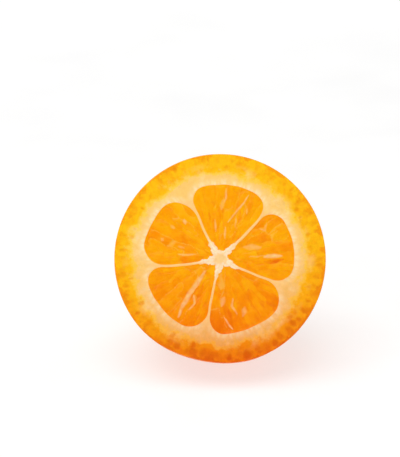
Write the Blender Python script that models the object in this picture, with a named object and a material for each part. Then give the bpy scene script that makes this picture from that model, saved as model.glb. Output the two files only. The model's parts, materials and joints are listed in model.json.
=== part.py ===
"""Half of an oval kumquat, cut across and lying on its side with the cut face forward and up.

Units are metres and +Z is up. The fruit is modelled about its own axis, with the cut in the
plane z = 0 and the stem end below it, and is then tipped over to the way it lies on a table.
"""
import math

import bmesh
import bpy
from mathutils import Matrix, Vector

# Whole half
CUT_DIAMETER = 0.0250           # across the cut, skin to skin
HALF_LENGTH = 0.0195            # from the cut to the stem end
PROFILE_POWER = 2.15            # 2 makes an ellipse, more makes a blunter end
PROFILE_POINTS = 24
SPIN_STEPS = 72

# One side of the fruit grew a little flatter than the rest
FLAT_SIDE_DEPTH = 0.0003
FLAT_SIDE_ANGLE = math.radians(256)
FLAT_SIDE_SPREAD = math.radians(22)

# Stem end
DIMPLE_RADIUS = 0.0030
DIMPLE_DEPTH = 0.0005
SCAR_RADIUS = 0.0012
SCAR_HEIGHT = 0.0002

# Cut face
RIND_THICKNESS = 0.0036         # coloured skin and pale pith together
WALL_THICKNESS = 0.0004         # skin between two pulp segments
WALL_ANGLES = [math.radians(angle) for angle in (46, 115, 185, 259, 338)]
CORE_RADIUS = 0.0011            # centre to the tip of each segment
CORE_REACH = 0.0023             # centre to where the walls have thinned out
SEGMENT_CORNER_RADIUS = 0.0012
SEGMENT_RECESS = 0.0003         # the pulp lies this far below the cut
CORNER_STEPS = 5
ARC_STEPS = 9
CUTTER_OVERSHOOT = 0.0010       # cutters stand this far out of the cut face

# Worn flat where it lies on the table
REST_SPOT_DEPTH = 0.0002

WELD_DISTANCE = 0.000001
SHARP_ANGLE = math.radians(35)
LEVEL_ENOUGH = 0.99             # upward share of the cut face's normal
CUT_RADIUS = CUT_DIAMETER / 2


def clear_scene():
    for existing in list(bpy.data.objects):
        bpy.data.objects.remove(existing, do_unlink=True)


def make_material(name, colour, roughness):
    material = bpy.data.materials.new(name)
    material.use_nodes = True
    shader = material.node_tree.nodes["Principled BSDF"]
    shader.inputs["Base Color"].default_value = (*colour, 1.0)
    shader.inputs["Roughness"].default_value = roughness
    shader.inputs["Metallic"].default_value = 0.0
    return material


def polar(radius, angle):
    return Vector((radius * math.cos(angle), radius * math.sin(angle)))


def girth(angle):
    """Share of the full radius that the fruit has at an angle about its axis."""
    turn = math.remainder(angle - FLAT_SIDE_ANGLE, math.tau)
    return 1.0 - FLAT_SIDE_DEPTH / CUT_RADIUS * math.exp(-(turn / FLAT_SIDE_SPREAD) ** 2)


def stem_end_drop(radius):
    """How far the dimple at the stem end sinks below the plain rounded end."""
    share = min(radius / DIMPLE_RADIUS, 1.0)
    return DIMPLE_DEPTH * (1.0 - share * share) ** 2


def half_profile():
    """Points (radius, depth behind the cut) from the stem scar's centre to the rim of the cut."""
    floor_depth = HALF_LENGTH - DIMPLE_DEPTH
    scar_depth = floor_depth + SCAR_HEIGHT
    points = [(0.0, scar_depth), (SCAR_RADIUS, scar_depth), (SCAR_RADIUS, floor_depth)]
    for step in range(PROFILE_POINTS + 1):
        turn = math.pi / 2 * (1.0 - step / PROFILE_POINTS)
        radius = CUT_RADIUS * max(math.cos(turn), 0.0) ** (2 / PROFILE_POWER)
        depth = HALF_LENGTH * math.sin(turn) ** (2 / PROFILE_POWER)
        if radius > SCAR_RADIUS:
            points.append((radius, depth - stem_end_drop(radius)))
    return points


def centroid_depth(profile):
    """Depth of the half's centre of mass behind the cut."""
    volume = 0.0
    moment = 0.0
    for (radius, depth), (next_radius, next_depth) in zip(profile, profile[1:]):
        slice_volume = (radius + next_radius) ** 2 / 4 * (depth - next_depth)
        volume += slice_volume
        moment += slice_volume * (depth + next_depth) / 2
    return moment / volume


def resting_tilt(profile):
    """Angle of the cut face's normal above level: the one that puts the centre of mass lowest."""
    centre = centroid_depth(profile)

    def centre_height(tilt):
        reach = max(depth * math.sin(tilt) + radius * math.cos(tilt) for radius, depth in profile)
        return reach - centre * math.sin(tilt)

    tilts = [math.radians(quarter / 4) for quarter in range(361)]
    return min(tilts, key=centre_height)


def turned_half(profile):
    """Closed body of the half about the z axis, cut at z = 0, stem end down."""
    bm = bmesh.new()
    ring = [bm.verts.new((radius, 0.0, -depth)) for radius, depth in profile]
    edges = [bm.edges.new(pair) for pair in zip(ring, ring[1:])]
    around_z = {"cent": (0, 0, 0), "axis": (0, 0, 1), "angle": math.tau, "steps": SPIN_STEPS}
    bmesh.ops.spin(bm, geom=ring + edges, use_merge=True, **around_z)
    bmesh.ops.remove_doubles(bm, verts=bm.verts, dist=WELD_DISTANCE)
    for vert in bm.verts:
        share = girth(math.atan2(vert.co.y, vert.co.x))
        vert.co.x *= share
        vert.co.y *= share
    rim = [edge for edge in bm.edges if edge.is_boundary]
    bmesh.ops.edgeloop_fill(bm, edges=rim)
    bmesh.ops.recalc_face_normals(bm, faces=bm.faces)
    return bm


def open_loops(bm):
    """Closed loops of open edges, the longest first."""
    waiting = [edge for edge in bm.edges if edge.is_boundary]
    loops = []
    while waiting:
        loop = [waiting.pop(0)]
        for edge in loop:  # the loop grows while it is walked
            beside = [other for vert in edge.verts for other in vert.link_edges if other in waiting]
            for other in beside:
                waiting.remove(other)
                loop.append(other)
        loops.append(loop)
    return sorted(loops, key=lambda loop: -sum(edge.calc_length() for edge in loop))


def cut_rest_spot(bm, down):
    """Slice the lowest bulge off square to the down direction and return the flat's centre.

    A fruit short enough to stand on its stem end is cut through the bulge round the dimple and
    perhaps the scar in it, so the loops are filled two by two from the outside: an outer loop
    together with the one inside it bounds one stretch of the flat.
    """
    lowest = max(vert.co.dot(down) for vert in bm.verts)
    plane_point = down * (lowest - REST_SPOT_DEPTH)
    everything = bm.verts[:] + bm.edges[:] + bm.faces[:]
    bmesh.ops.bisect_plane(bm, geom=everything, plane_co=plane_point, plane_no=down, clear_outer=True)
    loops = open_loops(bm)
    flat = []
    for outer in range(0, len(loops), 2):
        edges = [edge for loop in loops[outer:outer + 2] for edge in loop]
        filled = bmesh.ops.triangle_fill(bm, use_beauty=True, edges=edges, normal=down)["geom"]
        flat += [item for item in filled if isinstance(item, bmesh.types.BMFace)]
    bmesh.ops.recalc_face_normals(bm, faces=bm.faces)
    area = sum(face.calc_area() for face in flat)
    return sum((face.calc_center_median() * face.calc_area() for face in flat), Vector()) / area


def segment_outline(start_wall, end_wall):
    """Corners of one pulp segment, counter-clockwise from its inner tip, before the flat side."""
    pulp_radius = CUT_RADIUS - RIND_THICKNESS
    half_wall = WALL_THICKNESS / 2
    corner_centre = pulp_radius - SEGMENT_CORNER_RADIUS
    corner_turn = math.asin((half_wall + SEGMENT_CORNER_RADIUS) / corner_centre)
    middle = (start_wall + end_wall) / 2

    points = [polar(CORE_RADIUS, middle)]
    points.append(polar(CORE_REACH, start_wall) + polar(half_wall, start_wall + math.pi / 2))
    first_corner = start_wall + corner_turn
    sweep = math.pi / 2 + corner_turn
    for step in range(CORNER_STEPS):
        turn = first_corner - sweep + sweep * step / CORNER_STEPS
        points.append(polar(corner_centre, first_corner) + polar(SEGMENT_CORNER_RADIUS, turn))
    last_corner = end_wall - corner_turn
    for step in range(ARC_STEPS + 1):
        points.append(polar(pulp_radius, first_corner + (last_corner - first_corner) * step / ARC_STEPS))
    for step in range(1, CORNER_STEPS + 1):
        turn = last_corner + sweep * step / CORNER_STEPS
        points.append(polar(corner_centre, last_corner) + polar(SEGMENT_CORNER_RADIUS, turn))
    points.append(polar(CORE_REACH, end_wall) - polar(half_wall, end_wall + math.pi / 2))
    return points


def segment_cutters():
    """One prism for each pulp segment, from the recess floor to just outside the cut."""
    bm = bmesh.new()
    for index, start_wall in enumerate(WALL_ANGLES):
        end_wall = WALL_ANGLES[(index + 1) % len(WALL_ANGLES)]
        if end_wall < start_wall:
            end_wall += math.tau
        floor = []
        for point in segment_outline(start_wall, end_wall):
            share = girth(math.atan2(point.y, point.x))
            floor.append(bm.verts.new((point.x * share, point.y * share, -SEGMENT_RECESS)))
        face = bm.faces.new(floor)
        raised = bmesh.ops.extrude_face_region(bm, geom=[face])["geom"]
        top = [item for item in raised if isinstance(item, bmesh.types.BMVert)]
        bmesh.ops.translate(bm, verts=top, vec=(0, 0, SEGMENT_RECESS + CUTTER_OVERSHOOT))
    bmesh.ops.recalc_face_normals(bm, faces=bm.faces)
    return bm


def mesh_object(name, bm, materials):
    mesh = bpy.data.meshes.new(name)
    bm.to_mesh(mesh)
    bm.free()
    for material in materials:
        mesh.materials.append(material)
    thing = bpy.data.objects.new(name, mesh)
    bpy.context.scene.collection.objects.link(thing)
    return thing


def build_kumquat():
    skin = make_material("orange_skin", (0.93, 0.30, 0.01), 0.38)
    pith = make_material("pale_pith", (0.97, 0.72, 0.38), 0.50)
    pulp = make_material("orange_pulp", (0.94, 0.36, 0.01), 0.20)

    profile = half_profile()
    tilt = resting_tilt(profile)
    tip_over = Matrix.Rotation(math.pi / 2 - tilt, 4, "X")
    down = tip_over.inverted() @ Vector((0, 0, -1))

    bm = turned_half(profile)
    for face in bm.faces:
        if face.normal.z > LEVEL_ENOUGH:
            face.material_index = 1
    rest_centre = cut_rest_spot(bm, down)
    half = mesh_object("kumquat_half", bm, [skin, pith])
    half.data.shade_smooth()
    half.data.set_sharp_from_angle(angle=SHARP_ANGLE)
    half.matrix_world = Matrix.Translation(-(tip_over @ rest_centre)) @ tip_over

    cutters = mesh_object("segment_cutters", segment_cutters(), [pulp])
    cutters.parent = half
    cutters.hide_render = True
    cutters.display_type = "WIRE"

    pockets = half.modifiers.new("segment_pockets", "BOOLEAN")
    pockets.operation = "DIFFERENCE"
    pockets.solver = "EXACT"
    pockets.material_mode = "TRANSFER"
    pockets.object = cutters
    return half


clear_scene()
build_kumquat()
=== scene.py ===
import bpy
import json
import math
import random
import numpy as np
from mathutils import Matrix, Vector, geometry, kdtree, noise


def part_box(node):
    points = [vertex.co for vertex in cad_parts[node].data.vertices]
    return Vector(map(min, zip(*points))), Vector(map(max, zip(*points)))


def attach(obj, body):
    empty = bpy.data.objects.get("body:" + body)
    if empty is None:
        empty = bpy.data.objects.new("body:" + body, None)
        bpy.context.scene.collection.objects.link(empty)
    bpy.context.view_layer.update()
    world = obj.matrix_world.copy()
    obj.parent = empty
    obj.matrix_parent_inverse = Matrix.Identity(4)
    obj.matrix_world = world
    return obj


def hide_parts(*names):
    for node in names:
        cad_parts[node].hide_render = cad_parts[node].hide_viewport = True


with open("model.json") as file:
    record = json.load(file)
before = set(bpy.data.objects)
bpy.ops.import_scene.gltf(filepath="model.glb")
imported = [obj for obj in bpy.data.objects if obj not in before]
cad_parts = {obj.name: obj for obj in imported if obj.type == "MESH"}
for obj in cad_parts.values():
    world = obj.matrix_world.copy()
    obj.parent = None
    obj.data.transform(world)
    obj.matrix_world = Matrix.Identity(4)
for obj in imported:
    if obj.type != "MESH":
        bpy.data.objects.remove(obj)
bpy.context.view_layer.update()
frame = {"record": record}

# The fruit is drawn in millimetres about its own axis: the cut is z = 0, the dome hangs below it.
mm = 0.001
mounts = {mount["name"]: mount for mount in frame["record"]["mounts"]}
faceCentre = Vector(mounts["cut_face"]["pos_m"])
faceNormal = Vector(mounts["cut_face"]["axis"]).normalized()
faceUp = Vector((0, faceNormal.z, -faceNormal.y))
faceTurn = Matrix((Vector((1, 0, 0)), faceUp, faceNormal)).transposed()
boxLow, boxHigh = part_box("kumquat_half")

fruit = {
    "cutRadius": (boxHigh.x - boxLow.x) / 2 / mm,
    "lengthShare": 1.56,      # half length over cut radius
    "profilePower": 2.15,     # 2 is an ellipse, more is blunter
    "flatDepth": 0.30,        # the side that grew a little flatter
    "flatAngle": 256,         # degrees round the cut
    "flatSpread": 22,
    # the lower part of the cut turns a deeper orange: partly ripening, partly painted shade
    "ripeShadeTop": 0.50,          # height on the cut, in radii, where the deeper orange begins
    "ripeShadeLean": 0.12,         # it begins higher on the right
    "ripeShadeSpan": 1.50,         # and is full this much lower
    "ripeShadePower": 2.2,
}

fibres = {
    "finer": 8,               # more makes narrower fibres
    "shorter": 0.28,          # more makes shorter ones
    "size": 0.30,
}


def smoothStep(low, high, value):
    share = np.clip((value - low) / (high - low), 0, 1)
    return share * share * (3 - 2 * share)


def asVector(point):
    # a point with two coordinates lies in the plane of the cut
    return Vector((*point, 0)[:3])


def softNoise(points, size, seed, octaves=3):
    # fractal noise of about -1 to 1, one feature every "size" mm, each octave about half as large
    shift = Vector((seed * 17.3, seed * 5.1, seed * 9.7))
    places = [asVector(point) / size + shift for point in points]
    return np.array([noise.fractal(place, 0.9, 2.0, octaves) for place in places])


def softShift(points, size, seeds, octaves=2):
    # how far each point wanders across and up the cut
    return np.column_stack([softNoise(points, size, seed, octaves) for seed in seeds])


def radialNoise(points, seed):
    # noise drawn out into fibres that run from the core to the skin
    radius = np.hypot(points[:, 0], points[:, 1])
    angle = np.arctan2(points[:, 1], points[:, 0])
    around = fibres["finer"] * np.column_stack([np.cos(angle), np.sin(angle)])
    return softNoise(np.column_stack([around, radius * fibres["shorter"]]), fibres["size"], seed)


def girth(angle):
    turn = np.remainder(np.degrees(angle) - fruit["flatAngle"] + 180, 360) - 180
    return 1 - fruit["flatDepth"] / fruit["cutRadius"] * np.exp(-(turn / fruit["flatSpread"]) ** 2)


def ripeAndShadeSide(points):
    # 0 on the paler upper side of the fruit, 1 on the deeper orange lower side,
    # partly ripened and partly painted shade
    across, up = points[:, 0] / fruit["cutRadius"], points[:, 1] / fruit["cutRadius"]
    share = (fruit["ripeShadeTop"] + fruit["ripeShadeLean"] * across - up) / fruit["ripeShadeSpan"]
    return np.clip(share, 0, 1) ** fruit["ripeShadePower"]


def insideLoop(points, loop):
    # even-odd test of many points against one closed outline
    x, y = points[:, 0:1], points[:, 1:2]
    x1, y1 = loop[:, 0], loop[:, 1]
    x2, y2 = np.roll(x1, -1), np.roll(y1, -1)
    rise = np.where(y2 == y1, 1e-9, y2 - y1)
    crosses = ((y1 > y) != (y2 > y)) & (x < (x2 - x1) * (y - y1) / rise + x1)
    return crosses.sum(axis=1) % 2 == 1


def treeOf(points):
    # quick finder of the nearest of these points
    tree = kdtree.KDTree(len(points))
    for index, point in enumerate(points):
        tree.insert(asVector(point), index)
    tree.balance()
    return tree


def distanceTo(points, targets):
    # distance of each point to the nearest of the target points
    tree = treeOf(targets)
    return np.array([tree.find(asVector(point))[2] for point in points])


def evenLoop(loop, spacing):
    # the same closed outline with evenly spaced points
    closed = np.vstack([loop, loop[:1]])
    along = np.concatenate([[0], np.cumsum(np.linalg.norm(np.diff(closed, axis=0), axis=1))])
    count = int(round(along[-1] / spacing))
    places = np.linspace(0, along[-1], count, endpoint=False)
    return np.column_stack([np.interp(places, along, closed[:, axis]) for axis in (0, 1)])


sheetMesh = {
    "spacing": 0.10,
    "jitter": 0.15,           # share of the spacing
    "clearance": 0.62,        # from the outlines, share of the spacing
    "rimSpacing": 0.14,
    "outlineStep": 0.05,      # before the outline is bent
    "outlineSpacing": 0.09,   # after it
    "seed": 21,
    "weld": 1e-7,             # points closer than this become one
}


def fillSheet(rim, creases):
    # flat triangle sheet inside the rim; the creases are outlines that its edges follow
    spacing = sheetMesh["spacing"]
    low, high = rim.min(axis=0), rim.max(axis=0)
    rows = np.arange(low[1], high[1], spacing * math.sqrt(3) / 2)
    columns = np.arange(low[0], high[0], spacing)
    gridX, gridY = np.meshgrid(columns, rows)
    gridX = gridX + (np.arange(len(rows)) % 2)[:, None] * spacing / 2
    grid = np.column_stack([gridX.ravel(), gridY.ravel()])
    jitter = sheetMesh["jitter"]
    grid += np.random.default_rng(sheetMesh["seed"]).uniform(-jitter, jitter, grid.shape) * spacing
    grid = grid[insideLoop(grid, rim)]
    loops = [rim, *creases]
    grid = grid[distanceTo(grid, np.vstack(loops)) > spacing * sheetMesh["clearance"]]

    edges = []
    start = 0
    for loop in loops:
        edges += [(start + i, start + (i + 1) % len(loop)) for i in range(len(loop))]
        start += len(loop)
    points = np.vstack([*loops, grid])
    corners = [Vector(point) for point in points]
    made = geometry.delaunay_2d_cdt(corners, edges, [], 0, sheetMesh["weld"])
    sheet = np.array([tuple(point) for point in made[0]])
    triangles = np.array(made[2])
    triangles = triangles[insideLoop(sheet[triangles].mean(axis=1), rim)]
    place = np.empty(len(points), int)
    for newIndex, oldIndices in enumerate(made[3]):
        place[oldIndices] = newIndex
    return sheet, triangles, place[:len(rim)]


def zipRings(ringA, ringB, anglesA, anglesB):
    # triangles, facing out, between an upper ring and a lower one that may have different counts
    faces = []
    a = b = 0
    countA, countB = len(ringA), len(ringB)
    while a < countA or b < countB:
        nextA = anglesA[a % countA] + (math.tau if a >= countA else 0)
        nextB = anglesB[b % countB] + (math.tau if b >= countB else 0)
        stepA = anglesA[(a + 1) % countA] + (math.tau if a + 1 >= countA else 0)
        stepB = anglesB[(b + 1) % countB] + (math.tau if b + 1 >= countB else 0)
        if b >= countB or (a < countA and stepA + nextA <= stepB + nextB):
            faces.append((ringA[a % countA], ringB[b % countB], ringA[(a + 1) % countA]))
            a += 1
        else:
            faces.append((ringA[a % countA], ringB[b % countB], ringB[(b + 1) % countB]))
            b += 1
    return faces


def toWorld(points):
    turn = np.array(faceTurn)
    world = np.asarray(points) * mm @ turn.T + np.array(faceCentre)
    world[:, 2] = np.maximum(world[:, 2], 0)  # the small flat spot that it rests on
    return world


segments = {
    # walls between segments: angle at the rind, and how much further round it starts at the core
    "wallAngles": [46.5, 114.8, 184.5, 259.0, 338.0],
    "wallBends": [-5.0, 7.0, 10.0, -3.0, -4.5],
    "wallThickness": 0.27,
    "pulpReach": [8.82, 9.12, 9.05, 8.98, 8.80],   # core to the outer end of each segment
    "startCorner": [1.80, 2.70, 2.00, 1.80, 1.90],
    "endCorner": [1.40, 2.00, 2.20, 2.50, 1.90],
    "tipRadius": 0.88,
    "starReach": 2.60,        # where the thick rays of the core have thinned to walls
    "cornerSteps": 12,
    "arcSteps": 30,
    "bendReach": 9.0,         # core to where the bends have died out
    "wobble": 0.10,
    "wobbleSize": 2.6,
    "ragged": 0.19,           # torn edge round the core
    "raggedSize": 0.30,
    "raggedFade": (1.6, 3.2),           # core to where it starts to fade and where it has gone
}


def segmentOutline(index):
    count = len(segments["wallAngles"])
    start = math.radians(segments["wallAngles"][index])
    end = math.radians(segments["wallAngles"][(index + 1) % count])
    end += math.tau if end < start else 0
    half = segments["wallThickness"] / 2
    reach = segments["pulpReach"][index]
    cornerSteps, arcSteps = segments["cornerSteps"], segments["arcSteps"]

    def polar(radius, angle):
        return np.array([radius * math.cos(angle), radius * math.sin(angle)])

    points = [polar(segments["tipRadius"], (start + end) / 2)]
    points.append(polar(segments["starReach"], start) + polar(half, start + math.pi / 2))
    radius = segments["startCorner"][index]
    turn = math.asin((half + radius) / (reach - radius))
    first = start + turn
    for step in range(cornerSteps):
        angle = first - (math.pi / 2 + turn) * (1 - step / cornerSteps)
        points.append(polar(reach - radius, first) + polar(radius, angle))
    endRadius = segments["endCorner"][index]
    endTurn = math.asin((half + endRadius) / (reach - endRadius))
    last = end - endTurn
    for step in range(arcSteps + 1):
        points.append(polar(reach, first + (last - first) * step / arcSteps))
    for step in range(1, cornerSteps + 1):
        angle = last + (math.pi / 2 + endTurn) * step / cornerSteps
        points.append(polar(reach - endRadius, last) + polar(endRadius, angle))
    points.append(polar(segments["starReach"], end) - polar(half, end + math.pi / 2))
    return np.array(points)


def growUneven(points):
    # bends the walls and gives every outline the small wobbles of something that grew
    radius = np.hypot(points[:, 0], points[:, 1])
    angle = np.arctan2(points[:, 1], points[:, 0])
    degrees = np.degrees(angle) % 360
    bend = np.interp(degrees, segments["wallAngles"], segments["wallBends"], period=360)
    angle = angle + np.radians(bend) * np.clip(1 - radius / segments["bendReach"], 0, 1)
    points = np.column_stack([radius * np.cos(angle), radius * np.sin(angle)])
    drift = softShift(points, segments["wobbleSize"], (1, 2))
    torn = softShift(points, segments["raggedSize"], (3, 4), 3)
    nearCore = 1 - smoothStep(*segments["raggedFade"], radius)
    return points + drift * segments["wobble"] + torn * segments["ragged"] * nearCore[:, None]


bumpDepth = 0.00004        # metres, for the finest relief of all three surfaces


def addNode(tree, kind, **settings):
    node = tree.nodes.new(kind)
    for name, value in settings.items():
        setattr(node, name, value)
    return node


def noiseNode(tree, coords, scale, detail=3, roughness=0.55):
    node = addNode(tree, "ShaderNodeTexNoise")
    node.inputs["Scale"].default_value = scale
    node.inputs["Detail"].default_value = detail
    node.inputs["Roughness"].default_value = roughness
    tree.links.new(coords, node.inputs["Vector"])
    return node.outputs["Fac"]


def markNode(tree, name):
    return addNode(tree, "ShaderNodeAttribute", attribute_name=name).outputs["Fac"]


def ramp(tree, value, stops, ease=False):
    node = addNode(tree, "ShaderNodeValToRGB")
    node.color_ramp.interpolation = "EASE" if ease else "LINEAR"
    while len(node.color_ramp.elements) < len(stops):
        node.color_ramp.elements.new(0.5)
    for element, (position, colour) in zip(node.color_ramp.elements, stops):
        element.position = position
        element.color = (*colour, 1)
    tree.links.new(value, node.inputs["Fac"])
    return node.outputs["Color"]


def mapRange(tree, value, low, high, newLow=0.0, newHigh=1.0):
    node = addNode(tree, "ShaderNodeMapRange")
    for name, number in (("From Min", low), ("From Max", high), ("To Min", newLow), ("To Max", newHigh)):
        node.inputs[name].default_value = number
    tree.links.new(value, node.inputs["Value"])
    return node.outputs["Result"]


def blotches(tree, coords, scale, detail=3, roughness=0.55, levels=(0.3, 0.7), to=(0.0, 1.0)):
    # noise with "scale" features to the metre, from between two levels to a new range
    return mapRange(tree, noiseNode(tree, coords, scale, detail, roughness), *levels, *to)


def mathNode(tree, operation, first, second):
    node = addNode(tree, "ShaderNodeMath", operation=operation)
    for socket, value in zip(node.inputs, (first, second)):
        if isinstance(value, (int, float)):
            socket.default_value = value
        else:
            tree.links.new(value, socket)
    return node.outputs[0]


def mixColour(tree, share, first, second, blend="MIX"):
    node = addNode(tree, "ShaderNodeMix", data_type="RGBA", blend_type=blend)
    for name, value in (("Factor", share), ("A", first), ("B", second)):
        socket = [s for s in node.inputs if s.name == name and s.enabled][0]
        if isinstance(value, (int, float)):
            socket.default_value = value
        elif isinstance(value, tuple):
            socket.default_value = (*value, 1)
        else:
            tree.links.new(value, socket)
    return [s for s in node.outputs if s.enabled][0]


def bumpNode(tree, height, strength):
    node = addNode(tree, "ShaderNodeBump")
    node.inputs["Strength"].default_value = strength
    node.inputs["Distance"].default_value = bumpDepth
    tree.links.new(height, node.inputs["Height"])
    return node.outputs["Normal"]


def newMaterial(name, settings):
    material = bpy.data.materials.new(name)
    material.use_nodes = True
    shader = material.node_tree.nodes["Principled BSDF"]
    for socket, value in settings.items():
        shader.inputs[socket].default_value = value
    coords = material.node_tree.nodes.new("ShaderNodeTexCoord").outputs["Object"]
    return material, material.node_tree, shader, coords


def srgb(code):
    # hex colour as shown on screen to the shader's linear values
    parts = [int(code[i:i + 2], 16) / 255 for i in (0, 2, 4)]
    return tuple(part / 12.92 if part < 0.04045 else ((part + 0.055) / 1.055) ** 2.4 for part in parts)


def ripeningAndShadeColour(tree, look, value, shares):
    # tones along a ramp with marks laid over them in turn, once for the pale upper side and once for
    # the deeper lower one, and the two mixed round the fruit; the lower side's deeper orange is partly
    # ripening, partly painted shade
    sides = []
    for side in (0, 1):
        tone = {name: srgb(pair[side]) for name, pair in look["colours"].items()}
        stops = [(place, tone[name]) for place, name in look["stops"]]
        colour = ramp(tree, value, stops, look["ease"])
        for name, share in shares.items():
            colour = mixColour(tree, share, colour, tone[name])
        sides.append(colour)
    return mixColour(tree, markNode(tree, "ripeAndShade"), *sides)


def plugIn(tree, shader, colour, rough, relief):
    tree.links.new(colour, shader.inputs["Base Color"])
    tree.links.new(rough, shader.inputs["Roughness"])
    tree.links.new(relief, shader.inputs["Normal"])


skinLook = {
    "colours": {              # paler upper side first, then the lower side, riper and with painted shade
        "light": ("ffa200", "f98400"),
        "deep": ("fa8600", "ef6c00"),
        "gland": ("f27600", "e05400"),
    },
    "stops": [(0.26, "deep"), (0.66, "light")],
    "ease": False,
    "patches": {"scale": 420, "detail": 4, "roughness": 0.6},
    "finePatches": {"scale": 1500, "to": (-0.12, 0.12)},
    "glandShare": 0.65,
    "scarStops": [(0.35, "7d5226"), (0.65, "c49a62")],
    "scarSpecks": {"scale": 2600, "detail": 4},
    "roughness": {"scale": 900, "detail": 2, "to": (0.26, 0.38)},
    "scarRoughness": 0.75,
    "reliefScale": 3600,
    "reliefStrength": 0.35,
}


def skinMaterial():
    material, tree, shader, coords = newMaterial("waxySkin", {
        "Specular IOR Level": 0.16,
        "Subsurface Weight": 0.2,
        "Subsurface Radius": (1.0, 0.45, 0.10),
        "Subsurface Scale": 0.0004,
        "Coat Weight": 0.025,
        "Coat Roughness": 0.15,
    })
    patches = noiseNode(tree, coords, **skinLook["patches"])
    patches = mathNode(tree, "ADD", patches, blotches(tree, coords, **skinLook["finePatches"]))
    gland = mathNode(tree, "MULTIPLY", markNode(tree, "gland"), skinLook["glandShare"])
    colour = ripeningAndShadeColour(tree, skinLook, patches, {"gland": gland})
    scarStops = [(place, srgb(code)) for place, code in skinLook["scarStops"]]
    scarTone = ramp(tree, noiseNode(tree, coords, **skinLook["scarSpecks"]), scarStops)
    colour = mixColour(tree, markNode(tree, "scar"), colour, scarTone)
    scarRough = mathNode(tree, "MULTIPLY", markNode(tree, "scar"), skinLook["scarRoughness"])
    rough = mathNode(tree, "MAXIMUM", blotches(tree, coords, **skinLook["roughness"]), scarRough)
    grain = noiseNode(tree, coords, skinLook["reliefScale"])
    plugIn(tree, shader, colour, rough, bumpNode(tree, grain, skinLook["reliefStrength"]))
    return material


rindLook = {
    "colours": {              # paler upper side first, then the lower side, riper and with painted shade
        "edge": ("f49e06", "dc6002"),
        "flavedo": ("fcbe0c", "ee7604"),
        "mottle": ("f49c02", "e46200"),
        "change": ("fccb48", "f49834"),
        "pith": ("faca72", "ea9248"),
        "fringe": ("ffe4b8", "f6bf88"),
        "gland": ("e88602", "d65000"),
        "wall": ("fdca84", "fabc78"),
        "star": ("ffead0", "fee6c8"),
        "core": ("f8ce8e", "f8ce8e"),
    },
    # from the skin (0) to the pulp (1)
    "stops": [(0.00, "edge"), (0.10, "flavedo"), (0.44, "flavedo"), (0.60, "change"), (0.78, "pith")],
    "ease": True,
    "drift": {"scale": 620, "detail": 5, "roughness": 0.66, "levels": (0.25, 0.75), "to": (-0.29, 0.29)},
    "mottle": {"scale": 850, "detail": 4, "roughness": 0.65, "levels": (0.46, 0.66), "to": (0.0, 0.75)},
    "mottleDepths": (0.35, 0.65),       # it fades between these depths
    "spongy": {"scale": 480, "detail": 4, "roughness": 0.6, "levels": (0.50, 0.66), "to": (0.0, 0.45)},
    "spongyDepths": (0.25, 0.70),       # and the pale sponge comes in between these
    "fibreLevels": (-0.4, 0.5),
    "fibreShares": (0.35, 1.0),
    "wallShare": 0.9,
    "glandShare": 0.85,
    "specks": {"scale": 2400, "roughness": 0.7, "levels": (0.3, 0.75), "to": (0.94, 1.04)},
    "roughness": {"scale": 700, "to": (0.32, 0.52)},
    "pores": {"scale": 1500, "detail": 4, "roughness": 0.65},
    "poreStrength": 0.3,
}


def cutRindMaterial():
    material, tree, shader, coords = newMaterial("cutRind", {
        "Specular IOR Level": 0.07,
        "Subsurface Weight": 0.35,
        "Subsurface Radius": (1.0, 0.60, 0.25),
        "Subsurface Scale": 0.0005,
    })
    depth = markNode(tree, "rindDepth")
    uneven = mathNode(tree, "ADD", depth, blotches(tree, coords, **rindLook["drift"]))
    outer = mapRange(tree, depth, *rindLook["mottleDepths"], 1.0, 0.0)
    inner = mapRange(tree, depth, *rindLook["spongyDepths"])
    fibre = mapRange(tree, markNode(tree, "fibre"), *rindLook["fibreLevels"], *rindLook["fibreShares"])
    fringe = mathNode(tree, "MULTIPLY", markNode(tree, "fringe"), fibre)
    spongy = mathNode(tree, "MULTIPLY", blotches(tree, coords, **rindLook["spongy"]), inner)
    colour = ripeningAndShadeColour(tree, rindLook, uneven, {
        "mottle": mathNode(tree, "MULTIPLY", blotches(tree, coords, **rindLook["mottle"]), outer),
        "fringe": mathNode(tree, "MAXIMUM", fringe, spongy),
        "wall": mathNode(tree, "MULTIPLY", markNode(tree, "wall"), rindLook["wallShare"]),
        "star": mathNode(tree, "MULTIPLY", markNode(tree, "star"), fibre),
        "core": markNode(tree, "core"),
        "gland": mathNode(tree, "MULTIPLY", markNode(tree, "gland"), rindLook["glandShare"]),
    })
    specks = blotches(tree, coords, **rindLook["specks"])
    shade = addNode(tree, "ShaderNodeCombineColor")
    for socket in shade.inputs[:3]:
        tree.links.new(specks, socket)
    colour = mixColour(tree, 1.0, colour, shade.outputs[0], "MULTIPLY")
    rough = blotches(tree, coords, **rindLook["roughness"])
    pores = noiseNode(tree, coords, **rindLook["pores"])
    plugIn(tree, shader, colour, rough, bumpNode(tree, pores, rindLook["poreStrength"]))
    return material


pulpLook = {
    "colours": {              # paler upper side first, then the lower side, riper and with painted shade
        "juice": ("fca600", "ee5600"),
        "deep": ("f69200", "e45400"),
        "light": ("feb606", "f88002"),
        "membrane": ("fdc85c", "fcb666"),
        # pale sac skin with painted highlight, and the painted shadow beside it
        "skinAndGlintStreak": ("fcc47e", "fab688"),
        "shadowStreak": ("ee7404", "e45e02"),
    },
    "stops": [(0.10, "deep"), (0.50, "juice"), (0.95, "light")],
    "ease": False,
    "clouds": {"scale": 900, "to": (-0.25, 0.25)},
    "membraneShare": 0.45,
    "roughness": {"scale": 1300, "detail": 2, "levels": (0.35, 0.7), "to": (0.16, 0.36)},
    "rippleScale": 1500,
    "rippleStrength": 0.25,
}


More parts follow.
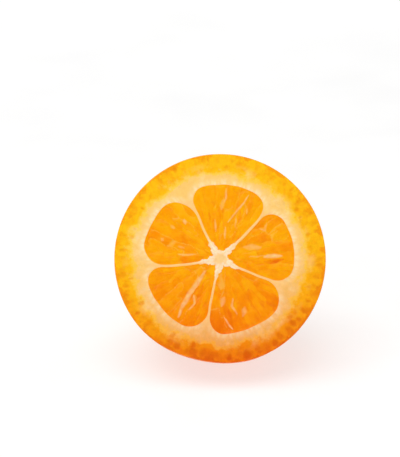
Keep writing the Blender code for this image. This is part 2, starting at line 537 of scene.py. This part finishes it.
def pulpMaterial():
    material, tree, shader, coords = newMaterial("wetPulp", {
        "Specular IOR Level": 0.07,
        "Subsurface Weight": 0.5,
        "Subsurface Radius": (1.0, 0.40, 0.06),
        "Subsurface Scale": 0.0009,
        "Coat Weight": 0.04,
        "Coat Roughness": 0.10,
    })
    clouds = blotches(tree, coords, **pulpLook["clouds"])
    tone = mathNode(tree, "ADD", markNode(tree, "sacTone"), clouds)
    # more than 0: pale sac skin with painted highlight; less than 0: painted shadow
    glintAndShadowStreak = markNode(tree, "glintAndShadowStreak")
    gap = mathNode(tree, "MULTIPLY", glintAndShadowStreak, -1.0)
    colour = ripeningAndShadeColour(tree, pulpLook, tone, {
        "membrane": mathNode(tree, "MULTIPLY", markNode(tree, "membrane"), pulpLook["membraneShare"]),
        "skinAndGlintStreak": mathNode(tree, "MAXIMUM", glintAndShadowStreak, 0.0),
        "shadowStreak": mathNode(tree, "MAXIMUM", gap, 0.0),
    })
    rough = blotches(tree, coords, **pulpLook["roughness"])
    ripple = noiseNode(tree, coords, pulpLook["rippleScale"])
    plugIn(tree, shader, colour, rough, bumpNode(tree, ripple, pulpLook["rippleStrength"]))
    return material


rind = {
    "thickness": 3.55,        # skin to pulp at the cut
    "leastDepth": 0.9,        # share of the way to the pulp at a full thickness, in the walls too
    # the coloured part reaches deeper (less than 0) or less deep (more than 0) towards these angles
    "driftAngles": [0, 38, 90, 140, 180, 222, 270, 315],
    "driftShares": [-0.01, -0.13, 0.0, -0.03, 0.08, -0.04, 0.0, -0.06],
    "driftDepths": (0.0, 0.4),
    "driftRadii": (7.5, 9.0),
    # radii between which each part of the middle comes in
    "wallRadii": (8.8, 7.0),
    "starRadii": (3.8, 1.2),
    "coreRadii": (0.95, 0.30),
    "coreRagged": 0.30,       # how far the core's edge wanders
    "coreRaggedSize": 0.5,
    "fringeReach": (1.0, 0.1),          # pale edge along the pulp
    "fringeShare": 0.8,
    # heights of the relief, and the size of its waves
    "wallRise": 0.04,
    "coreSink": 0.03,
    "fibreRise": 0.05,
    "waves": (0.030, 1.8),
    "grain": (0.012, 0.35),
    "edgeFade": 0.25,         # the relief dies out this close to the skin
    "pulpFade": 1.5,          # and this many times closer to the pulp
}

cutGland = {
    "rows": [(0.78, 0.95, 1.0), (1.60, 0.35, 0.70)],   # depth under the skin, share kept, size
    "spacing": 1.08,
    "slip": 0.34,             # along the row, share of the spacing
    "scatter": 0.22,          # across the row
    # on the paler upper side, and what the lower side, riper and in painted shade, adds
    "halfLength": (0.64, 0.20),
    "halfWidth": (0.40, 0.36),
    "strength": (0.60, 0.40),
    # what each gland draws between, as shares of those
    "scales": (0.65, 1.10),
    "widths": (0.75, 1.25),
    "strengths": (0.30, 1.0),
    "bend": 0.14,             # how far its outline wanders
    "bendSize": 0.55,
    "softEdge": 0.70,
    "pit": 0.07,              # depth of the hollow
    "seed": 11,
}


def cutGlands():
    # oil glands sliced open just under the skin: middle, direction, half length, half width, strength
    draw = random.Random(cutGland["seed"])
    found = []

    def grown(name, ripeAndShade):
        pale, added = cutGland[name]
        return pale + added * ripeAndShade

    for inset, share, size in cutGland["rows"]:
        radius = fruit["cutRadius"] - inset
        count = int(math.tau * radius / cutGland["spacing"])
        for i in range(count):
            angle = math.tau * (i + draw.uniform(-cutGland["slip"], cutGland["slip"])) / count
            reach = (radius + draw.uniform(-cutGland["scatter"], cutGland["scatter"])) * girth(angle)
            x, y = reach * math.cos(angle), reach * math.sin(angle)
            ripeAndShade = float(ripeAndShadeSide(np.array([[x, y]]))[0])
            scale = size * draw.uniform(*cutGland["scales"])
            halfLength = scale * grown("halfLength", ripeAndShade)
            halfWidth = scale * grown("halfWidth", ripeAndShade) * draw.uniform(*cutGland["widths"])
            strength = draw.uniform(*cutGland["strengths"]) * grown("strength", ripeAndShade)
            if draw.random() < share:
                found.append((x, y, angle, halfLength, halfWidth, strength))
    return found


def glandMark(points):
    bent = points + cutGland["bend"] * softShift(points, cutGland["bendSize"], (44, 45))
    mark = np.zeros(len(points))
    for x, y, direction, halfLength, halfWidth, strength in cutGlands():
        dx, dy = bent[:, 0] - x, bent[:, 1] - y
        along = dx * math.cos(direction) + dy * math.sin(direction)
        across = -dx * math.sin(direction) + dy * math.cos(direction)
        inside = 1 - np.hypot(along / halfLength, across / halfWidth)
        mark = np.maximum(mark, smoothStep(0, cutGland["softEdge"], inside) * strength)
    return mark


def shapeRind(points, toPulp):
    # height above the cut and the marks that colour skin edge, pith, walls and core
    radius = np.hypot(points[:, 0], points[:, 1])
    angle = np.arctan2(points[:, 1], points[:, 0])
    fromSkin = fruit["cutRadius"] * girth(angle) - radius
    depth = fromSkin / np.maximum(fromSkin + toPulp, 0.01)
    depth = np.maximum(depth, smoothStep(0, rind["thickness"], fromSkin) * rind["leastDepth"])
    degrees = np.degrees(angle) % 360
    drift = np.interp(degrees, rind["driftAngles"], rind["driftShares"], period=360)
    drift *= smoothStep(*rind["driftDepths"], depth) * smoothStep(*rind["driftRadii"], radius)
    wall = smoothStep(*rind["wallRadii"], radius)
    ragged = rind["coreRagged"] * softNoise(points, rind["coreRaggedSize"], 46, 2)
    core = smoothStep(*rind["coreRadii"], radius + ragged)
    fibre = radialNoise(points, 61)
    marks = {
        "rindDepth": depth + drift,
        "gland": glandMark(points),
        "wall": wall,
        "core": core,
        "star": (1 - core) * smoothStep(*rind["starRadii"], radius),
        "fibre": fibre,
        "fringe": smoothStep(*rind["fringeReach"], toPulp) * (1 - wall) * rind["fringeShare"],
    }
    height = wall * rind["wallRise"] - core * rind["coreSink"] - marks["gland"] * cutGland["pit"]
    height += marks["star"] * fibre * rind["fibreRise"]
    for (rise, size), seed, octaves in ((rind["waves"], 5, 3), (rind["grain"], 6, 2)):
        height += rise * softNoise(points, size, seed, octaves)
    edge = np.minimum(toPulp * rind["pulpFade"], fromSkin)
    return height * smoothStep(0, rind["edgeFade"], edge), marks


pulp = {
    # from, to, how many across
    "sacRows": [(5.6, 9.4, 7), (3.9, 7.2, 5), (2.2, 5.2, 4), (0.9, 3.4, 2)],
    "sacSlip": 0.35,          # across the row, share of a sac's room
    "sacLean": 7,             # degrees
    "outerLean": 0.4,         # share of the lean at the outer end
    "nearEnd": (-0.9, 0.7),   # how far each end may stray
    "farEnd": (-1.2, 0.4),
    "nearest": 0.4,           # no sac starts closer to the core's middle
    "sacFill": (0.42, 0.66),  # half width, share of a sac's room
    "halfWidths": (0.34, 0.75),         # narrowest and widest
    "membraneChance": 0.22,   # sacs whose skin shows as a pale line
    "membranePaleness": (0.5, 1.0),
    "fullness": (0.55, 1.0),
    "sacTip": 0.35,           # width at the outer end, share of the widest
    "sacStart": 0.15,         # the inner end is already this far along the taper
    "sacBlunt": 0.6,          # less makes blunter ends
    "bend": 0.18,             # how far the sacs wander
    "bendSize": 1.1,
    "border": 0.26,           # width of the pale line, in half widths
    "flank": (1.25, 1.6),     # how far out a sac still falls away, and how gently
    "seam": (-0.05, 0.35),    # the furrow between two sacs, in half widths
    "toneSpread": 0.55,       # how much the sacs differ
    "toneSeam": 0.45,         # two tones meet over this many half widths
    "toneFibre": 0.15,
    # heights of the relief, and the size of its waves
    "sacHeight": 0.13,
    "floorDrop": 0.06,
    "edgeDrop": 0.03,         # the pulp meets the walls this far below the cut
    "waves": (0.025, 0.9),
    "streakRise": 0.04,
    "fibreRise": 0.009,
    "wallFade": 0.45,         # the relief rises to its full height this far from a wall
    "wallLip": 0.12,          # and its edge drops over this much
    "seed": 100,
    # the streaks of pale sac skin with painted highlight, and of painted shadow
    "streakBend": 0.10,
    "streakTip": 0.35,        # width at both ends, share of the widest
    "streakEdge": (1.0, 0.3),           # where it starts and is full, in half widths
    "streakBreak": (0.85, 0.5),         # usual strength, and how much it comes and goes
    "streakBreakSize": 0.7,
}

# pale streaks of torn sac skin with a painted highlight (more than 0) and painted shadow in the gaps
# (less than 0): path across the cut, half width, strength
glintAndShadowStreaks = [
    ([(0.7, 8.4), (0.7, 7.2), (0.4, 6.2)], 0.14, 0.65),
    ([(0.4, 7.0), (0.2, 5.9)], 0.36, 0.50),
    ([(3.4, 7.5), (2.7, 6.5), (1.7, 5.3), (0.9, 4.4)], 0.15, 0.80),
    ([(3.2, 6.0), (3.1, 5.3)], 0.18, 0.55),
    ([(1.9, 4.9), (1.8, 3.7)], 0.15, 0.45),
    ([(0.6, 3.8), (0.6, 2.4)], 0.14, 0.60),
    ([(-0.6, 4.6), (-0.5, 3.2)], 0.16, 0.60),
    ([(-1.3, 5.6), (-1.2, 4.6)], 0.16, -0.45),
    ([(2.4, 5.6), (2.2, 4.2)], 0.30, -0.35),
    ([(-6.9, 2.4), (-6.7, 2.2)], 0.34, 0.65),
    ([(-4.2, 4.7), (-4.1, 4.1)], 0.27, 0.60),
    ([(-5.8, 3.9), (-5.4, 3.6)], 0.30, 0.35),
    ([(-5.0, 0.5), (-3.0, 0.5)], 0.17, 0.70),
    ([(-5.0, 1.5), (-4.3, 1.3)], 0.17, 0.45),
    ([(2.8, 1.4), (4.8, 1.3)], 0.50, 0.45),
    ([(5.2, 0.2), (6.1, 0.3), (7.3, 0.3)], 0.38, 0.95),
    ([(5.2, -0.35), (6.4, -0.4), (7.5, -0.1)], 0.32, -0.90),
    ([(5.6, 4.3), (5.3, 3.4), (4.7, 3.6)], 0.18, 0.50),
    ([(3.4, 0.2), (5.3, 0.4)], 0.13, 0.40),
    ([(-1.7, -1.4), (-2.5, -2.5), (-3.4, -3.9), (-4.4, -5.5), (-4.9, -6.9)], 0.42, 0.90),
    ([(-2.6, -3.2), (-3.5, -4.9)], 0.20, -0.60),
    ([(-3.1, -4.3), (-3.0, -5.3), (-3.6, -6.1)], 0.18, 0.65),
    ([(-2.0, -3.2), (-3.0, -5.6)], 0.34, -0.50),
    ([(1.5, -4.7), (1.4, -5.6), (2.0, -6.6)], 0.20, 0.65),
    ([(2.9, -5.7), (2.7, -6.8)], 0.42, 0.60),
    ([(0.5, -4.6), (0.2, -5.6)], 0.42, 0.60),
    ([(0.5, -7.0), (1.1, -7.8), (1.5, -8.4)], 0.14, 0.95),
    ([(1.0, -6.0), (1.3, -7.2)], 0.30, -0.55),
    ([(3.3, -3.6), (3.7, -5.6)], 0.38, -0.40),
    ([(4.6, -5.0), (5.2, -5.8)], 0.24, -0.40),
]


def juiceSacs(index, draw):
    # spindle sacs fanning out from the core: two ends, half width, tone, fullness, paleness of its skin
    count = len(segments["wallAngles"])
    start = segments["wallAngles"][index]
    span = (segments["wallAngles"][(index + 1) % count] - start) % 360
    slip = pulp["sacSlip"]
    sacs = []
    for inner, outer, across in pulp["sacRows"]:
        for i in range(across):
            turn = start + span * (i + 0.5 + draw.uniform(-slip, slip)) / across
            lean = draw.uniform(-pulp["sacLean"], pulp["sacLean"])
            near = inner + draw.uniform(*pulp["nearEnd"])
            far = outer + draw.uniform(*pulp["farEnd"])
            ends = []
            for reach, degrees in (
                (max(near, pulp["nearest"]), turn - lean),
                (far, turn + lean * pulp["outerLean"]),
            ):
                angle = math.radians(degrees)
                ends.append((reach * math.cos(angle), reach * math.sin(angle)))
            room = math.radians(span / across) * (near + far) / 2
            halfWidth = float(np.clip(room * draw.uniform(*pulp["sacFill"]), *pulp["halfWidths"]))
            pale = 0.0
            if draw.random() < pulp["membraneChance"]:
                pale = draw.uniform(*pulp["membranePaleness"])
            sacs.append((*ends, halfWidth, draw.random(), draw.uniform(*pulp["fullness"]), pale))
    return sacs


def sacDistances(points, sacs):
    # distance from each point to each sac's spine, as a share of the sac's half width there
    shares = []
    for (x1, y1), (x2, y2), halfWidth, *_ in sacs:
        spine = np.array([x2 - x1, y2 - y1])
        offset = points - np.array([x1, y1])
        along = np.clip(offset @ spine / (spine @ spine), 0, 1)
        gap = np.linalg.norm(offset - along[:, None] * spine, axis=1)
        turn = np.clip(along * (1 - pulp["sacStart"]) + pulp["sacStart"], 0, 1) * math.pi
        taper = pulp["sacTip"] + (1 - pulp["sacTip"]) * np.sin(turn) ** pulp["sacBlunt"]
        shares.append(gap / (halfWidth * taper))
    return np.array(shares)


def glintAndShadowMark(points):
    # each streak, of pale sac skin with painted highlight or of painted shadow, tapers to both ends and
    # breaks up along its way
    usual, change = pulp["streakBreak"]
    broken = usual + change * softNoise(points, pulp["streakBreakSize"], 81)
    tip = pulp["streakTip"]
    mark = np.zeros(len(points))
    for path, halfWidth, strength in glintAndShadowStreaks:
        knots = np.array(path)
        runs = np.diff(knots, axis=0)
        lengths = np.linalg.norm(runs, axis=1)
        best = np.full(len(points), np.inf)
        for place, (corner, run, length) in enumerate(zip(knots, runs, lengths)):
            along = np.clip((points - corner) @ run / length ** 2, 0, 1)
            gap = np.linalg.norm(points - corner - along[:, None] * run, axis=1)
            share = (lengths[:place].sum() + along * length) / lengths.sum()
            best = np.minimum(best, gap / (halfWidth * (tip + (1 - tip) * np.sin(share * math.pi))))
        inside = smoothStep(*pulp["streakEdge"], best) * strength * broken
        mark = np.where(np.abs(inside) > np.abs(mark), inside, mark)
    return mark


def shapePulp(index, points, toWall):
    # height above the cut and the marks that colour the juice sacs of one segment
    sacs = juiceSacs(index, random.Random(pulp["seed"] + index))
    warp = softShift(points, pulp["bendSize"], (14 + index, 24 + index))
    shares = sacDistances(points + pulp["bend"] * warp, sacs)
    order = np.argsort(shares, axis=0)
    first = np.take_along_axis(shares, order[:1], axis=0)[0]
    second = np.take_along_axis(shares, order[1:2], axis=0)[0]
    lead = second - first     # 0 in the furrow between two sacs
    tone, fullness, pale = (np.array([sac[field] for sac in sacs])[order[0]] for field in (3, 4, 5))
    fibre = radialNoise(points, 71 + index)
    # streaks of painted highlight and painted shadow
    glintAndShadowStreak = glintAndShadowMark(points + pulp["streakBend"] * warp)
    toneShare = pulp["toneSpread"] * smoothStep(0.0, pulp["toneSeam"], lead)
    marks = {
        "sacTone": 0.5 + (tone - 0.5) * toneShare + pulp["toneFibre"] * fibre,
        "membrane": smoothStep(pulp["border"], 0.0, lead) * pale,
        "glintAndShadowStreak": glintAndShadowStreak,
    }
    widest, gentle = pulp["flank"]
    swell = np.sqrt(np.clip(1 - np.clip(first, 0, widest) ** 2 / gentle, 0, 1)) * fullness
    swell *= (1 + smoothStep(*pulp["seam"], lead)) / 2
    rise, size = pulp["waves"]
    height = pulp["sacHeight"] * swell + rise * softNoise(points, size, 50 + index)
    height += pulp["streakRise"] * glintAndShadowStreak + pulp["fibreRise"] * fibre
    height -= pulp["edgeDrop"] + pulp["floorDrop"]
    inward = smoothStep(0, pulp["wallFade"], toWall)
    lip = -pulp["edgeDrop"] * smoothStep(0, pulp["wallLip"], toWall)
    return height * inward + lip * (1 - inward), marks


dome = {
    "spacing": 0.21,
    "profileSteps": 2000,
    "edgeRound": 0.05,        # the knife's edge on the skin
    "evenDepth": 1.0,         # down to here each ring has as many points as the rim
    "fewest": 8,              # no ring has fewer points
    "glandSpacing": 0.74,
    "glandRadius": (0.26, 0.58),
    "glandStrength": (0.35, 1.0),
    "glandEdge": 0.9,         # how much of its radius is slope
    "glandPit": 0.050,
    "glandSeed": 31,
    # height and size
    "waves": (0.05, 4.5),
    "ripples": (0.010, 0.8),
    "scarRagged": (0.12, 0.6),
    "scarBark": (0.06, 0.35),
    "rimFade": 0.6,           # the relief is full this far below the cut
    "stemShare": 0.6,         # the stem's end of the dome starts here
    "dimpleRadius": 3.0,
    "dimpleDepth": 0.5,
    "scarRadius": 1.2,
    "scarHeight": 0.2,
    "scarMiddle": 0.6,        # its height in the middle, share of its height at the edge
    "scarSlope": 0.10,        # half the width of its edge
}


def domeProfile():
    # radius and depth from the rim of the cut to the last ring round the pole, evenly spaced
    turn = np.linspace(0, math.pi / 2, dome["profileSteps"])
    power = fruit["profilePower"]
    radius = fruit["cutRadius"] * np.maximum(np.cos(turn), 0) ** (2 / power)
    depth = fruit["cutRadius"] * fruit["lengthShare"] * np.sin(turn) ** (2 / power)
    along = np.concatenate([[0], np.cumsum(np.hypot(np.diff(radius), np.diff(depth)))])
    count = int(along[-1] / dome["spacing"])
    places = np.linspace(dome["edgeRound"], along[-1], count)[:-1]
    return np.interp(places, along, radius), np.interp(places, along, depth)


def skinGlands(points):
    # scattered oil glands, no two closer than the spacing: 1 at each middle, 0 outside
    draw = np.random.default_rng(dome["glandSeed"])
    tree = treeOf(points)
    free = np.ones(len(points), bool)
    middles = []
    for index in draw.permutation(len(points)):
        if free[index]:
            middles.append(index)
            for _, near, _ in tree.find_range(points[index], dome["glandSpacing"]):
                free[near] = False
    radius = draw.uniform(*dome["glandRadius"], len(middles))
    strength = draw.uniform(*dome["glandStrength"], len(middles))
    middleTree = treeOf(points[middles])
    found = [middleTree.find(point) for point in points]
    nearest = [place for _, place, _ in found]
    inside = 1 - np.array([gap for _, _, gap in found]) / radius[nearest]
    return smoothStep(0, dome["glandEdge"], inside) * strength[nearest]


def shapeSkin(points):
    # oil glands, slow swellings, the dimple and the stem scar, pressed into the smooth dome
    radius = np.hypot(points[:, 0], points[:, 1])
    drop = -points[:, 2]
    halfLength = fruit["cutRadius"] * fruit["lengthShare"]
    outward = points / np.array([fruit["cutRadius"], fruit["cutRadius"], halfLength]) ** 2
    outward /= np.linalg.norm(outward, axis=1)[:, None]

    def relief(name, seed, octaves=2):
        rise, size = dome[name]
        return rise * softNoise(points, size, seed, octaves)

    atStem = drop > halfLength * dome["stemShare"]
    share = np.minimum(radius / dome["dimpleRadius"], 1)
    dimple = dome["dimpleDepth"] * (1 - share * share) ** 2 * atStem
    outer, inner = (dome["scarRadius"] + side * dome["scarSlope"] for side in (1, -1))
    scar = smoothStep(outer, inner, radius + relief("scarRagged", 8)) * atStem
    gland = skinGlands(points) * (1 - scar)
    lift = relief("waves", 9) + relief("ripples", 10) - dome["glandPit"] * gland
    lift *= smoothStep(0.0, dome["rimFade"], drop)
    hollow = dome["scarMiddle"] + (1 - dome["scarMiddle"]) * radius / dome["scarRadius"]
    lift += scar * (dome["scarHeight"] * hollow + relief("scarBark", 12, 3)) - dimple
    return points + outward * lift[:, None], {"gland": gland, "scar": scar}


skinSlot, rindSlot, pulpSlot = 0, 1, 2     # places of the three materials on the mesh


def buildCutFace(rim):
    # one sheet for rind, walls, core and pulp, the pulp with a material of its own and the rest with the
    # rind's
    outlines = []
    for index in range(len(segments["wallAngles"])):
        smooth = evenLoop(segmentOutline(index), sheetMesh["outlineStep"])
        outlines.append(evenLoop(growUneven(smooth), sheetMesh["outlineSpacing"]))
    sheet, triangles, rimPlaces = fillSheet(rim, outlines)
    toOutline = distanceTo(sheet, np.vstack(outlines))
    height, marks = shapeRind(sheet, toOutline)
    marks.update({name: np.zeros(len(sheet)) for name in ("sacTone", "membrane", "glintAndShadowStreak")})
    slots = np.full(len(triangles), rindSlot)
    middles = sheet[triangles].mean(axis=1)
    for index, outline in enumerate(outlines):
        inside = insideLoop(middles, outline)
        slots[inside] = pulpSlot
        juicy = np.unique(triangles[inside])
        height[juicy], segmentMarks = shapePulp(index, sheet[juicy], toOutline[juicy])
        for name, values in segmentMarks.items():
            marks[name][juicy] = values
    print("cut face", len(sheet), "points in", len(outlines), "segments and the rind")
    return np.column_stack([sheet, height]), triangles, slots, marks, rimPlaces


def buildDome(rimPlaces, rimAngles, firstIndex):
    # rings from the rim of the cut down to the stem end
    points = []
    faces = []
    ringPlaces, ringAngles = rimPlaces, rimAngles
    total = firstIndex
    for ringRadius, ringDepth in zip(*domeProfile()):
        count = max(int(math.tau * ringRadius / dome["spacing"]), dome["fewest"])
        count = len(rimAngles) if ringDepth < dome["evenDepth"] else count
        angles = np.linspace(0, math.tau, count, endpoint=False)
        reach = ringRadius * girth(angles)
        ring = [reach * np.cos(angles), reach * np.sin(angles), np.full(count, -ringDepth)]
        points.append(np.column_stack(ring))
        current = np.arange(total, total + count)
        faces += zipRings(ringPlaces, current, ringAngles, angles)
        ringPlaces, ringAngles = current, angles
        total += count
    faces.append(tuple(ringPlaces[::-1]))
    skin, marks = shapeSkin(np.vstack(points))
    print("dome", len(skin), "points")
    return skin, faces, marks


def buildKumquat():
    rimRadius = fruit["cutRadius"] - dome["edgeRound"]
    count = int(math.tau * rimRadius / sheetMesh["rimSpacing"])
    rimAngles = np.linspace(0, math.tau, count, endpoint=False)
    rimReach = rimRadius * girth(rimAngles)
    rim = np.column_stack([rimReach * np.cos(rimAngles), rimReach * np.sin(rimAngles)])
    cutPoints, cutTriangles, cutSlots, cutMarks, rimPlaces = buildCutFace(rim)
    skinPoints, skinFaces, skinMarks = buildDome(rimPlaces, rimAngles, len(cutPoints))
    points = np.vstack([cutPoints, skinPoints])
    faces = cutTriangles.tolist() + [[int(i) for i in face] for face in skinFaces]

    mesh = bpy.data.meshes.new("kumquat_fruit")
    mesh.from_pydata(toWorld(points).tolist(), [], faces)
    # deeper orange towards the lower side, partly ripening and partly painted shade
    marks = {"ripeAndShade": ripeAndShadeSide(points)}
    for name in {**cutMarks, **skinMarks}:
        cutPart = cutMarks.get(name, np.zeros(len(cutPoints)))
        marks[name] = np.concatenate([cutPart, skinMarks.get(name, np.zeros(len(skinPoints)))])
    for name, values in marks.items():
        mesh.attributes.new(name, "FLOAT", "POINT").data.foreach_set("value", values.astype(np.float32))
    for material in (skinMaterial(), cutRindMaterial(), pulpMaterial()):
        mesh.materials.append(material)
    skinSlots = np.full(len(skinFaces), skinSlot)
    skinSlots[:2 * count] = rindSlot  # the knife's edge
    mesh.polygons.foreach_set("material_index", np.concatenate([cutSlots, skinSlots]).astype(np.int32))
    mesh.shade_smooth()
    onRim = set(rimPlaces.tolist())
    for edge in mesh.edges:
        edge.use_edge_sharp = onRim.issuperset(edge.vertices)
    mesh.update()
    piece = bpy.data.objects.new("kumquat_fruit", mesh)
    bpy.context.scene.collection.objects.link(piece)
    print("kumquat_fruit", len(mesh.vertices), "points,", len(mesh.polygons), "faces")
    return piece


kumquatFruit = buildKumquat()
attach(kumquatFruit, "root")
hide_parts("kumquat_half")


studio = {
    "cameraRise": 21,         # degrees above level
    "distance": 0.30,
    "lens": 200,
    "nearest": 0.01,          # nothing closer than this is drawn
    "aimRight": -2.37,        # the camera looks past the fruit's middle, millimetres on the cut face
    "aimUp": 3.57,
    "backdropLight": 1.0,     # white sky low behind the table, up to about 10 degrees
    "lowSkyLight": 0.35,
    "overheadLight": 0.69,
    "skyStops": (0.16, 0.30, 0.90),     # how high each of the three is reached, 1 is overhead
    "keyPlace": (-0.08, -0.10, 0.34),
    "keySize": 0.40,
    "keyWatts": 0.78,
    "keyColour": (1.0, 0.99, 0.97),
    "floorHalf": 1.5,
    "floorGlow": 0.64,        # lights the table a little from within, as on a product table
    "glowReach": (0.10, 0.60),          # further off it grows to the backdrop's light
    "floorCloudScale": 60,
    "floorStops": [(0.3, 0.36), (0.7, 0.40)],
}


def lightSky(scene):
    world = bpy.data.worlds.new("studioWorld")
    world.use_nodes = True
    tree = world.node_tree
    skyward = addNode(tree, "ShaderNodeSeparateXYZ")
    tree.links.new(tree.nodes.new("ShaderNodeTexCoord").outputs["Generated"], skyward.inputs[0])
    levels = (studio["backdropLight"], studio["lowSkyLight"], studio["overheadLight"])
    stops = [(height, (level,) * 3) for height, level in zip(studio["skyStops"], levels)]
    background = tree.nodes["Background"]
    background.inputs["Color"].default_value = (1, 1, 1, 1)
    tree.links.new(ramp(tree, skyward.outputs["Z"], stops), background.inputs["Strength"])
    scene.world = world


def layFloor(scene):
    mesh = bpy.data.meshes.new("studio_floor")
    half = studio["floorHalf"]
    mesh.from_pydata([(-half, -half, 0), (half, -half, 0), (half, half, 0), (-half, half, 0)], [],
                     [(0, 1, 2, 3)])
    material, tree, shader, coords = newMaterial("paleFloor", {
        "Roughness": 0.8,
        "Specular IOR Level": 0.1,
        "Emission Color": (1, 1, 1, 1),
    })
    away = addNode(tree, "ShaderNodeVectorMath", operation="LENGTH")
    tree.links.new(coords, away.inputs[0])
    glow = mapRange(tree, away.outputs["Value"], *studio["glowReach"],
                    studio["floorGlow"], studio["backdropLight"])
    tree.links.new(glow, shader.inputs["Emission Strength"])
    clouds = noiseNode(tree, coords, studio["floorCloudScale"], 2)
    tone = ramp(tree, clouds, [(place, (level,) * 3) for place, level in studio["floorStops"]])
    tree.links.new(tone, shader.inputs["Base Color"])
    mesh.materials.append(material)
    floor = bpy.data.objects.new("studio_floor", mesh)
    scene.collection.objects.link(floor)


def hangKeyLight(scene):
    data = bpy.data.lights.new("keyLight", "AREA")
    data.shape = "DISK"
    data.size = studio["keySize"]
    data.energy = studio["keyWatts"]
    data.color = studio["keyColour"]
    light = bpy.data.objects.new("keyLight", data)
    light.location = studio["keyPlace"]
    light.rotation_euler = (faceCentre - light.location).to_track_quat("-Z", "Y").to_euler()
    scene.collection.objects.link(light)


def placeCamera(scene):
    rise = math.radians(studio["cameraRise"])
    back = Vector((0, -math.cos(rise), math.sin(rise)))
    up = Vector((0, math.sin(rise), math.cos(rise)))
    target = faceCentre + Vector((studio["aimRight"] * mm, 0, 0)) + up * studio["aimUp"] * mm
    data = bpy.data.cameras.new("studioCamera")
    data.lens = studio["lens"]
    data.clip_start = studio["nearest"]
    camera = bpy.data.objects.new("studioCamera", data)
    camera.location = target + back * studio["distance"]
    camera.rotation_euler = (-back).to_track_quat("-Z", "Y").to_euler()
    scene.collection.objects.link(camera)
    scene.camera = camera


def setStudio():
    scene = bpy.context.scene
    scene.view_settings.view_transform = "Standard"
    lightSky(scene)
    layFloor(scene)
    hangKeyLight(scene)
    placeCamera(scene)
    print("studio: sky, floor, key light and camera")


setStudio()
